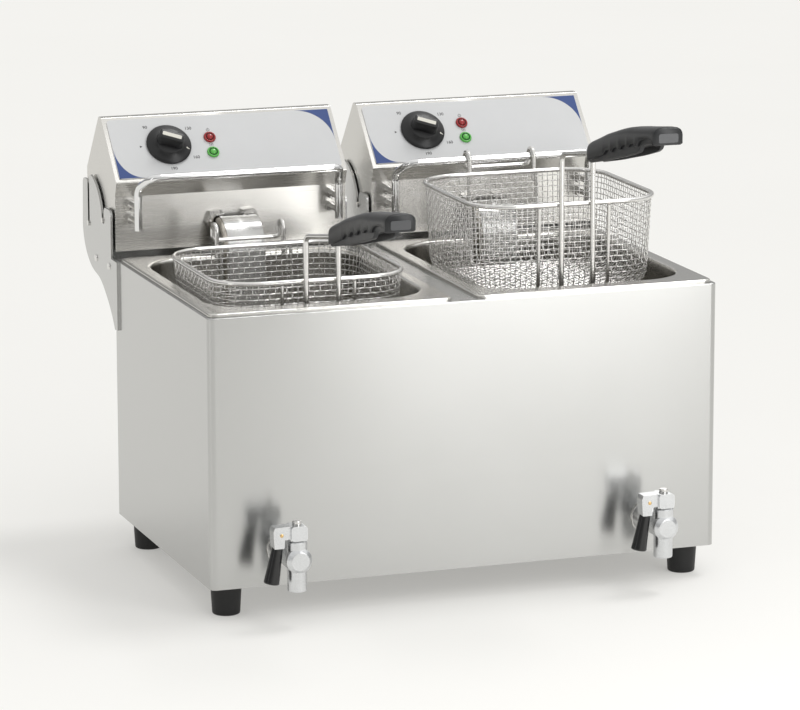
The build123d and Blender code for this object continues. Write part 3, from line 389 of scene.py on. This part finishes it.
def outline_point(index, half, corner):
    """Point and outward direction at a wire's place around a rounded square."""
    straight = half - corner
    arc = math.pi / 2 * CORNER_R
    side_length = 2 * straight + arc
    distance = index / PERIMETER_WIRES * 4 * side_length
    side = int(distance // side_length) % 4
    along = distance - (distance // side_length) * side_length
    if along < 2 * straight:
        point = Vector((half, along - straight, 0))
        outwards = Vector((1, 0, 0))
    else:
        angle = (along - 2 * straight) / arc * math.pi / 2
        outwards = Vector((math.cos(angle), math.sin(angle), 0))
        point = Vector((straight, straight, 0)) + outwards * corner
    turn = Matrix.Rotation(side * math.pi / 2, 3, "Z")
    return turn @ point, turn @ outwards


def wall_station(depth, height, half_top):
    """Half size, corner radius, height and tilt of the wall at a distance down from the rim."""
    wall = height - FLOOR_R
    if depth <= wall:
        inset = TAPER * depth / wall
        return half_top - inset, CORNER_R - inset, -depth, 0.0
    angle = min((depth - wall) / FLOOR_R, math.pi / 2)
    inset = TAPER + FLOOR_R * (1 - math.cos(angle))
    return half_top - inset, CORNER_R - inset, -wall - FLOOR_R * math.sin(angle), angle


def woven_basket(side):
    """Real woven wires in place of the basket's plain tub."""
    node = f"basket_mesh_{side}"
    low, high = (Vector(corner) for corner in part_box(node))
    centre = Vector(((low.x + high.x) / 2, (low.y + high.y) / 2, high.z))
    half_top = (high.x - low.x) / 2 - 2 * WIRE_R
    height = high.z - low.z - 2 * WIRE_R
    run = height - FLOOR_R + FLOOR_R * math.pi / 2
    rows = round(run / WALL_PITCH)
    tubes = []

    def surface(index, depth, weave):
        half, corner, z, angle = wall_station(depth, height, half_top)
        point, outwards = outline_point(index, half, corner)
        lean = outwards * math.cos(angle) + Vector((0, 0, -math.sin(angle)))
        return centre + point + Vector((0, 0, z)) + lean * (weave * WIRE_R)

    for index in range(PERIMETER_WIRES):
        points = [surface(index, -1.5 * MM, 0)]
        for half_row in range(2 * rows + 1):
            weave = 0 if half_row % 2 == 0 else (-1) ** (index + half_row // 2)
            points.append(surface(index, half_row / 2 * run / rows, weave))
        tubes.append(tube(points, WIRE_R))
    for row in range(rows):
        points = []
        for half_index in range(2 * PERIMETER_WIRES):
            weave = 0 if half_index % 2 else -((-1) ** (half_index // 2 + row))
            points.append(surface(half_index / 2, (row + 0.5) * run / rows, weave))
        tubes.append(tube(points, WIRE_R, closed=True))
    half, corner, floor_z, _ = wall_station(run, height, half_top)
    seam = [centre + outline_point(i, half, corner)[0] + Vector((0, 0, floor_z))
            for i in range(PERIMETER_WIRES)]
    tubes.append(tube(seam, 1.5 * WIRE_R, closed=True))
    tubes.extend(floor_wires(centre + Vector((0, 0, floor_z)), half, corner))
    vertices, faces = join_tubes(tubes)
    piece = make_object(f"basket_weave_{side}", vertices, faces, [WIRE])
    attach(piece, f"basket_{side}")
    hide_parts(node)


def floor_wires(centre, half, corner):
    """Crossed straight wires that fill the basket's floor."""
    straight = half - corner
    count = int(2 * half / WALL_PITCH) | 1
    step = 2 * half / (count + 1)
    tubes = []
    for along_x in (True, False):
        for line in range(count):
            offset = -half + (line + 1) * step
            beyond = max(abs(offset) - straight, 0)
            reach = straight + math.sqrt(max(corner**2 - beyond**2, 0))
            cells = max(int(2 * reach / step), 1)
            points = []
            for cell in range(cells + 1):
                place = -reach + 2 * reach * cell / cells
                weave = (-1) ** (cell + line + along_x) * WIRE_R
                flat = (place, offset) if along_x else (offset, place)
                points.append(centre + Vector((*flat, weave)))
            tubes.append(tube(points, WIRE_R, sides=5))
    return tubes


# ---------------------------------------------------------------- basket grips
# Curves of the grip in mm: distance forward of the rim, then height above the rim or half width.
GRIP_TOP = ((60, 75.4), (70, 79), (92, 86), (113, 93), (135, 99), (156, 104.6), (177, 109), (198, 112),
            (219, 115), (239, 118), (249, 119))
GRIP_EDGE = ((60, 56), (72, 59), (109, 70), (131, 76), (154, 82), (177, 88), (201, 92.5), (249, 101))
GRIP_KEEL = ((60, 53.6), (106, 63), (136, 70), (162, 76), (187, 82.5), (204, 88), (210, 95), (249, 101))
GRIP_HALF = ((60, 12.2), (106, 14.3), (156, 16.0), (206, 16.8), (240, 16.4), (249, 16.0))
GRIP_CAP_DROP = 11.5  # from the top of the end to the middle of its panel
# Bites in the lower side edges: place of the middle, half length and height.
GRIP_SCALLOPS = ((120, 9.5, 3.4), (143, 9.5, 3.4), (167, 9.5, 3.4), (190, 9.0, 3.4), (224, 20.0, 7.0))
GRIP_FROM, GRIP_TO = 60.0, 248.5
GRIP_CAP_FROM = 244.0
GRIP_STEP = 1.5
GRIP_END_LENGTH = 2.5  # length over which each end is rounded off
GRIP_END_SCALE = 0.86  # size of the section at the very end
CAD_GRIP_FOOT = 53.0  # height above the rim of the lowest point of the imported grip


def curve_at(points, forward):
    """Height of a smooth curve through the points."""
    for index in range(len(points) - 1):
        (x0, y0), (x1, y1) = points[index], points[index + 1]
        if forward <= x1 or index == len(points) - 2:
            break
    before = points[max(index - 1, 0)]
    after = points[min(index + 2, len(points) - 1)]
    slope_0 = (y1 - before[1]) / (x1 - before[0])
    slope_1 = (after[1] - y0) / (after[0] - x0)
    t = (forward - x0) / (x1 - x0)
    run = x1 - x0
    return ((2 * t**3 - 3 * t**2 + 1) * y0 + (t**3 - 2 * t**2 + t) * run * slope_0
            + (3 * t**2 - 2 * t**3) * y1 + (t**3 - t**2) * run * slope_1)


def grip_section(forward):
    """Half outline of the grip, from the middle of its back to the middle of its hollow underside."""
    top = curve_at(GRIP_TOP, forward)
    keel = curve_at(GRIP_KEEL, forward)
    half = curve_at(GRIP_HALF, forward)
    edge = curve_at(GRIP_EDGE, forward)
    for centre, reach, bite in GRIP_SCALLOPS:
        edge += bite * math.sqrt(max(1 - ((forward - centre) / reach) ** 2, 0))
    capped = min(max((forward - GRIP_CAP_FROM) / 2.0, 0), 1)
    edge += (curve_at(GRIP_EDGE, forward) - edge) * capped
    keel = min(keel, edge - 0.6)
    hollow = min((top - keel) * 0.45, 7.0) * min((forward - GRIP_FROM) / 12, 1) * (1 - capped)
    ledge = half * (0.80 + 0.16 * capped)
    return ((0, top), (0.40 * half, top - 0.2), (0.66 * half, top - 1.0), (0.84 * half, top - 2.6),
            (0.95 * half, top - 5.0), (half, top - 8.0), (half, edge + 1.2), (0.97 * half, edge + 0.3),
            (0.90 * half, edge), (ledge, edge + 0.4), (ledge - 0.3, keel + 1.2), (ledge - 1.6, keel),
            (0.52 * half, keel), (0.46 * half, keel + hollow), (0, keel + hollow))


def basket_grip(side):
    """Arched moulded grip: a shell with finger bites in its lower edges and a blunt end cap."""
    node = f"basket_grip_{side}"
    low, high = (Vector(corner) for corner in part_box(node))
    centre_x = (low.x + high.x) / 2
    vertices = []
    stations = round((GRIP_TO - GRIP_FROM) / GRIP_STEP)
    for station in range(stations + 1):
        forward = GRIP_FROM + (GRIP_TO - GRIP_FROM) * station / stations
        near_end = min((forward - GRIP_FROM) / GRIP_END_LENGTH, (GRIP_TO - forward) / GRIP_END_LENGTH, 1.0)
        shrink = GRIP_END_SCALE + (1 - GRIP_END_SCALE) * math.sqrt(1 - (1 - near_end) ** 2)
        half = grip_section(forward)
        middle = (half[0][1] + half[-1][1]) / 2
        outline = list(half) + [(-across, up) for across, up in half[-2:0:-1]]
        for across, up in outline:
            vertices.append(Vector((centre_x + across * shrink * MM, high.y - (forward - GRIP_FROM) * MM,
                                    low.z + (middle + (up - middle) * shrink - CAD_GRIP_FOOT) * MM)))
    faces = loft_faces(stations + 1, len(outline))
    piece = make_object(f"grip_shell_{side}", vertices, faces, [GRIP])
    sharpen(piece, 42)
    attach(piece, f"basket_{side}")
    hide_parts(node)
    cap_height = curve_at(GRIP_TOP, GRIP_TO) - GRIP_CAP_DROP - CAD_GRIP_FOOT
    grip_cap(side, Vector((centre_x, low.y, low.z + cap_height * MM)))


def grip_cap(side, centre):
    """Lighter panel let into the grip's end."""
    outline = rounded_box(10.5, 4.6, 2.0)
    piece = prism(f"grip_cap_{side}", outline, -1.0, -0.05, CAP)
    place(piece, Matrix.Translation(centre) @ Matrix.Rotation(math.pi / 2, 4, "X"))
    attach(piece, f"basket_{side}")


# ---------------------------------------------------------------- tap details
RIVET_PROFILE = ((1.9, 0), (1.9, 0.5), (1.3, 0.9), (0.01, 1.0))  # radius and height in mm
RIVET_IN = 8.7 * MM  # from the left end of the lever's box
RIVET_DROP = 8.8 * MM  # from the top of it
RIVET_SUNK = 0.2 * MM
LEVER_T = 14.0 * MM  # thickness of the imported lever's arm


def tap_rivet(side):
    """Brass rivet in the front of the tap's lever."""
    low, high = (Vector(corner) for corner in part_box(f"tap_lever_{side}"))
    vertices, faces = revolve([(radius * MM, height * MM) for radius, height in RIVET_PROFILE], 24)
    piece = make_object(f"tap_rivet_{side}", vertices, faces, [BRASS])
    arm_front = (low.y + high.y) / 2 - LEVER_T / 2
    spot = Vector((low.x + RIVET_IN, arm_front + RIVET_SUNK, high.z - RIVET_DROP))
    place(piece, Matrix.Translation(spot) @ Matrix.Rotation(math.pi / 2, 4, "X"))
    sharpen(piece)
    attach(piece, f"tap_handle_{side}")


# ---------------------------------------------------------------- fascia, knob and lamps
LAMP_PLACES = {"power": (48.0, 7.0), "ready": (48.0, -12.5)}  # mm from the knob's centre
# Radius and height in mm: flange ring, groove and dome.
LAMP_PROFILE = ((6.75, 0.0), (6.75, 1.3), (6.3, 2.1), (5.5, 2.4), (4.9, 2.1), (4.5, 1.2), (3.9, 1.2),
                (3.6, 2.0), (3.0, 2.9), (2.0, 3.3), (0.9, 3.45), (0.01, 3.5))
LAMP_GROOVE = (3.7, 4.9)  # faces between these radii get painted shade, a darker copy of the lens colour
BLUE_TOP = (38.0, 40.0)  # width and height of the blue corners, mm
BLUE_BOTTOM = (28.0, 38.0)
DIAL_NUMBERS = ((132, "90"), (38, "130"), (-32, "160"), (-90, "190"))  # direction in degrees
DIAL_REACH = {-90: 30.5}  # mm from the knob's centre where it isn't the usual reach
DIAL_USUAL_REACH = 33.0
DIAL_SIZE = 5.2 * MM


def panel_matrix(side):
    """Placement of a head's knob: origin on the slope, local Y up the slope, local Z outwards."""
    joint = next(j for j in frame["joints"] if j["name"] == f"knob_turn_{side}")
    outwards = -Vector(joint["axis"])
    across = Vector((1, 0, 0))
    up_slope = outwards.cross(across)
    turn = Matrix((across, up_slope, outwards)).transposed().to_4x4()
    return Matrix.Translation(Vector(joint["pos_m"])) @ turn


def place(piece, matrix):
    """Move a piece's mesh into place, leaving its object at the origin."""
    piece.data.transform(matrix)
    piece.data.update()


KNOB_TURN = -22.0  # turn of the bar at rest in degrees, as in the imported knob
FASCIA_TOP = 0.8 * MM
PRINT_T = 0.12 * MM


def knob(side):
    """Skirted knob: dished cone, raised bar, ivory insert and pointer."""
    matrix = panel_matrix(side) @ Matrix.Translation((0, 0, FASCIA_TOP + 0.3 * MM))
    skirt = [(24.4, 0), (25.0, 0.4), (25.0, 1.8), (24.5, 2.4), (22.0, 3.4), (19.0, 4.9), (16.6, 6.6),
             (15.4, 8.0), (13.0, 8.6), (0.01, 8.7)]
    vertices, faces = revolve([(r * MM, z * MM) for r, z in skirt], 96)
    base = make_object(f"knob_skirt_{side}", vertices, faces, [KNOB])
    bar = knob_bar(side)
    insert = prism(f"knob_insert_{side}", rounded_box(10.6, 2.3, 0.5), 19.0, 19.7, IVORY)
    wedge = [(19.3, 1.0), (23.2, 0.25), (23.2, -0.25), (19.3, -1.0)]
    pointer = prism(f"knob_pointer_{side}", wedge, 2.6, 5.0, IVORY)
    turn = Matrix.Rotation(math.radians(KNOB_TURN), 4, "Z")
    tilt_pointer(pointer)
    for piece, local in ((base, Matrix()), (bar, turn), (insert, turn), (pointer, turn)):
        place(piece, matrix @ local)
        sharpen(piece)
        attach(piece, f"knob_{side}")
    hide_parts(f"control_knob_{side}")


def tilt_pointer(piece):
    """Lay the pointer's top and bottom along the skirt's slope."""
    for vertex in piece.data.vertices:
        slope_z = (4.9 - (vertex.co.x / MM - 19.0) * 0.5) * MM
        vertex.co.z = slope_z + (0.12 * MM if vertex.co.z > 3.8 * MM else -0.6 * MM)


def rounded_box(half_x, half_y, radius, steps=5):
    """Outline points in mm of a rounded rectangle, counter-clockwise."""
    points = []
    for quarter, (sx, sy) in enumerate(((1, 1), (-1, 1), (-1, -1), (1, -1))):
        for step in range(steps + 1):
            angle = math.pi / 2 * (quarter + step / steps)
            points.append((sx * (half_x - radius) + radius * math.cos(angle),
                           sy * (half_y - radius) + radius * math.sin(angle)))
    return points


def prism(name, outline, low, high, material):
    """Straight prism over an outline in mm."""
    count = len(outline)
    vertices = [Vector((x * MM, y * MM, z * MM)) for z in (low, high) for x, y in outline]
    return make_object(name, vertices, loft_faces(2, count), [material], smooth=False)


def knob_bar(side):
    """Raised bar with rounded flanks that narrows to a flat top."""
    levels = ((15.0, 8.4, 7.0, 5.5), (14.6, 7.6, 10.0, 5.0), (14.2, 6.6, 14.0, 4.0), (13.8, 5.9, 18.2, 3.0),
              (13.4, 5.4, 19.0, 2.6), (12.4, 4.4, 19.4, 1.8))
    vertices = []
    for half_x, half_y, z, radius in levels:
        vertices.extend(Vector((x * MM, y * MM, z * MM)) for x, y in rounded_box(half_x, half_y, radius))
    count = len(vertices) // len(levels)
    return make_object(f"knob_bar_{side}", vertices, loft_faces(len(levels), count), [KNOB])


def lamp(side, name, head_at, lens_material, groove_shade_material):
    """Signal lamp: flange ring, groove with painted shade and dome."""
    node = f"lamp_{name}_{side}"
    vertices, faces = revolve([(r * MM, z * MM) for r, z in LAMP_PROFILE], 48)
    piece = make_object(f"lamp_lens_{name}_{side}", vertices, faces, [lens_material, groove_shade_material])
    for polygon in piece.data.polygons:
        radius = math.hypot(polygon.center.x, polygon.center.y) / MM
        # Groove faces take the darker copy of the lens colour: painted shade.
        if LAMP_GROOVE[0] < radius < LAMP_GROOVE[1]:
            polygon.material_index = 1
    place(piece, panel_matrix(side) @ Matrix.Translation((head_at[0] * MM, head_at[1] * MM, FASCIA_TOP)))
    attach(piece, f"head_{side}")
    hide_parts(node)


def decal(name, side, outline, material):
    """Thin printed shape on the fascia; the outline is in mm from the knob's centre."""
    piece = prism(f"{name}_{side}", outline, FASCIA_TOP / MM, (FASCIA_TOP + PRINT_T) / MM, material)
    place(piece, panel_matrix(side))
    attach(piece, f"head_{side}")


def arc_points(centre, radii, start, end, steps=20):
    """Points in mm on an ellipse arc between two angles in degrees."""
    points = []
    for step in range(steps + 1):
        angle = math.radians(start + (end - start) * step / steps)
        points.append((centre[0] + radii[0] * math.cos(angle), centre[1] + radii[1] * math.sin(angle)))
    return points


def fascia_print(side):
    """Blue corners, the dial's off mark and numbers, and the lamp pictograms."""
    low, high = (Vector(corner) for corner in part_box(f"head_fascia_{side}"))
    inverse = panel_matrix(side).inverted()
    near = inverse @ Vector((low.x, low.y, low.z))
    far = inverse @ Vector((high.x, high.y, high.z))
    left, right = near.x / MM + 0.4, far.x / MM - 0.4
    slope = math.hypot(high.y - low.y, high.z - low.z) / MM
    middle = (near.y + far.y) / 2 / MM
    bottom, top = middle - slope / 2 + 0.9, middle + slope / 2 - 0.9
    wide, tall = BLUE_TOP
    corner = arc_points((right - wide, top - tall), (wide, tall), 0, 90)
    decal("blue_corner_top", side, [(right, top)] + list(reversed(corner)), BLUE)
    wide, tall = BLUE_BOTTOM
    corner = arc_points((left + wide, bottom + tall), (wide, tall), 180, 270)
    decal("blue_corner_bottom", side, [(left, bottom)] + list(reversed(corner)), BLUE)
    decal("dial_off_mark", side, [(-32.5, 1.3), (-32.5, -1.3), (-29.8, 0)], INK)
    for degrees, text in DIAL_NUMBERS:
        dial_number(side, text, degrees)
    for name, at in LAMP_PLACES.items():
        power_symbol(side, name, at[0], at[1] + 10.2)


def dial_number(side, text, degrees):
    """A generic number printed beside the knob."""
    curve = bpy.data.curves.new(f"dial_{text}_{side}", "FONT")
    curve.body = text
    curve.size = DIAL_SIZE
    curve.offset = 0.06 * MM
    curve.extrude = PRINT_T / 2
    curve.align_x = "CENTER"
    curve.align_y = "CENTER"
    source = bpy.data.objects.new("dial_source", curve)
    bpy.context.scene.collection.objects.link(source)
    bpy.context.view_layer.update()
    mesh = bpy.data.meshes.new_from_object(source)
    bpy.data.objects.remove(source)
    piece = bpy.data.objects.new(f"dial_{text}_{side}", mesh)
    mesh.materials.clear()
    mesh.materials.append(INK)
    bpy.context.scene.collection.objects.link(piece)
    reach = DIAL_REACH.get(degrees, DIAL_USUAL_REACH)
    angle = math.radians(degrees)
    spot = Matrix.Translation((reach * MM * math.cos(angle), reach * MM * math.sin(angle), FASCIA_TOP))
    place(piece, panel_matrix(side) @ spot)
    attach(piece, f"head_{side}")


def power_symbol(side, name, x, y):
    """Small pictogram over a lamp: a ring with a stroke, or three heat lines."""
    if name == "power":
        outer = arc_points((x, y), (1.9, 1.9), 125, 415, 24)
        inner = arc_points((x, y), (1.45, 1.45), 415, 125, 24)
        decal("power_ring", side, outer + inner, INK)
        stroke = [(x - 0.25, y), (x + 0.25, y), (x + 0.25, y + 2.3), (x - 0.25, y + 2.3)]
        decal("power_stroke", side, stroke, INK)
        return
    for number in (-1, 0, 1):
        base = x + number * 1.7
        outline = [(base - 0.25, y - 1.6), (base + 0.25, y - 1.6), (base + 0.55, y), (base + 0.25, y + 1.6),
                   (base - 0.25, y + 1.6), (base + 0.05, y)]
        decal(f"heat_line_{number + 2}", side, outline, INK)


# ---------------------------------------------------------------- stage, light and camera
STAGE_HALF = 20.0
FLOOR_GLOW = 0.31
CAMERA_PLACE = (-1.51259, -4.22445, 1.18895)
CAMERA_AZIMUTH = 19.405
CAMERA_ELEVATION = 12.044
CAMERA_ROLL = -0.103
CAMERA_LENS = 193.64
SKY = ((0.0, 0.60), (0.08, 0.42), (0.35, 0.48), (0.55, 1.0), (1.0, 1.05))  # height and brightness


def make_stage():
    """Plain pale floor, faintly lit from below like a light table so that shadows stay soft."""
    corners = [Vector((x * STAGE_HALF, y * STAGE_HALF, 0)) for x, y in ((-1, -1), (1, -1), (1, 1), (-1, 1))]
    material, tree, shader = new_material("floor")
    speckle = noise(tree, stretched(tree, (2, 2, 2)), 1.0)
    shade = mixed(tree, speckle, (0.56, 0.555, 0.54), (0.58, 0.575, 0.56))
    tree.links.new(shade, shader.inputs["Base Color"])
    shader.inputs["Roughness"].default_value = 0.9
    shader.inputs["Specular IOR Level"].default_value = 0.1
    shader.inputs["Emission Color"].default_value = (1.0, 0.99, 0.955, 1)
    shader.inputs["Emission Strength"].default_value = FLOOR_GLOW
    floor = make_object("floor", corners, [(0, 1, 2, 3)], [material], smooth=False)


def make_world():
    """Soft studio surroundings: bright overhead, mid grey at eye level, darker towards the left."""
    world = bpy.data.worlds.new("studio")
    bpy.context.scene.world = world
    world.use_nodes = True
    tree = world.node_tree
    background = tree.nodes["Background"]
    coordinates = add_node(tree, "ShaderNodeTexCoord")
    split = add_node(tree, "ShaderNodeSeparateXYZ", Vector=coordinates.outputs["Generated"])
    height = tree.nodes.new("ShaderNodeValToRGB")
    tree.links.new(split.outputs["Z"], height.inputs["Fac"])
    while len(height.color_ramp.elements) < len(SKY):
        height.color_ramp.elements.new(0.5)
    for element, (place_at, value) in zip(height.color_ramp.elements, SKY):
        element.position = place_at
        element.color = (value, value, value * 0.99, 1)
    across = add_node(tree, "ShaderNodeMapRange", Value=split.outputs["X"], From_Min=-1.0, From_Max=1.0,
                      To_Min=0.75, To_Max=1.25).outputs["Result"]
    tree.links.new(height.outputs["Color"], background.inputs["Color"])
    strength = add_node(tree, "ShaderNodeMath", {"operation": "MULTIPLY"})
    tree.links.new(across, strength.inputs[0])
    strength.inputs[1].default_value = 0.9
    tree.links.new(strength.outputs[0], background.inputs["Strength"])


def area_light(name, at, target, size, power, colour=(1, 1, 1)):
    """Softbox aimed at a point."""
    data = bpy.data.lights.new(name, "AREA")
    data.shape = "RECTANGLE"
    data.size, data.size_y = size
    data.energy = power
    data.color = colour
    light = bpy.data.objects.new(name, data)
    direction = Vector(target) - Vector(at)
    light.matrix_world = Matrix.Translation(at) @ direction.to_track_quat("-Z", "Y").to_matrix().to_4x4()
    bpy.context.scene.collection.objects.link(light)


def sun_light(name, at, spread, strength):
    """Even light from one direction, with soft shadows."""
    data = bpy.data.lights.new(name, "SUN")
    data.angle = math.radians(spread)
    data.energy = strength
    light = bpy.data.objects.new(name, data)
    light.matrix_world = (-Vector(at)).to_track_quat("-Z", "Y").to_matrix().to_4x4()
    bpy.context.scene.collection.objects.link(light)


def make_lights():
    """Even key from the upper right, a softbox that fades across the front and a strip on the left."""
    sun_light("key", (0.95, 0.25, 2.2), 18, 0.75)
    area_light("front_box", (0.52, -1.25, 0.70), (0.2, -0.14, 0.2), (0.55, 1.2), 6.0)
    area_light("left_strip", (-1.5, -0.55, 0.75), (-0.28, 0.0, 0.2), (0.12, 1.2), 1.0)


def make_camera():
    """Long-lens camera, 19.4 degrees left of the front and 12 degrees up."""
    azimuth = math.radians(CAMERA_AZIMUTH)
    elevation = math.radians(CAMERA_ELEVATION)
    back = Vector((-math.sin(azimuth) * math.cos(elevation), -math.cos(azimuth) * math.cos(elevation),
                   math.sin(elevation)))
    right = Vector((math.cos(azimuth), -math.sin(azimuth), 0))
    up = back.cross(right)
    data = bpy.data.cameras.new("camera")
    data.sensor_width = 36.0
    data.lens = CAMERA_LENS
    data.clip_end = 100.0
    camera = bpy.data.objects.new("camera", data)
    turn = Matrix((right, up, back)).transposed().to_4x4()
    roll = Matrix.Rotation(math.radians(CAMERA_ROLL), 4, "Z")
    camera.matrix_world = Matrix.Translation(CAMERA_PLACE) @ turn @ roll
    bpy.context.scene.collection.objects.link(camera)
    bpy.context.scene.camera = camera


# ---------------------------------------------------------------- build
dress_cad_nodes()
for side in SIDES:
    woven_basket(side)
    basket_grip(side)
    tap_rivet(side)
    knob(side)
    lamp(side, "power", LAMP_PLACES["power"], RED_LENS, RED_GROOVE_PAINTED_SHADE)
    lamp(side, "ready", LAMP_PLACES["ready"], GREEN_LENS, GREEN_GROOVE_PAINTED_SHADE)
    fascia_print(side)
make_stage()
make_world()
make_lights()
make_camera()
bpy.context.scene.view_settings.view_transform = "Standard"
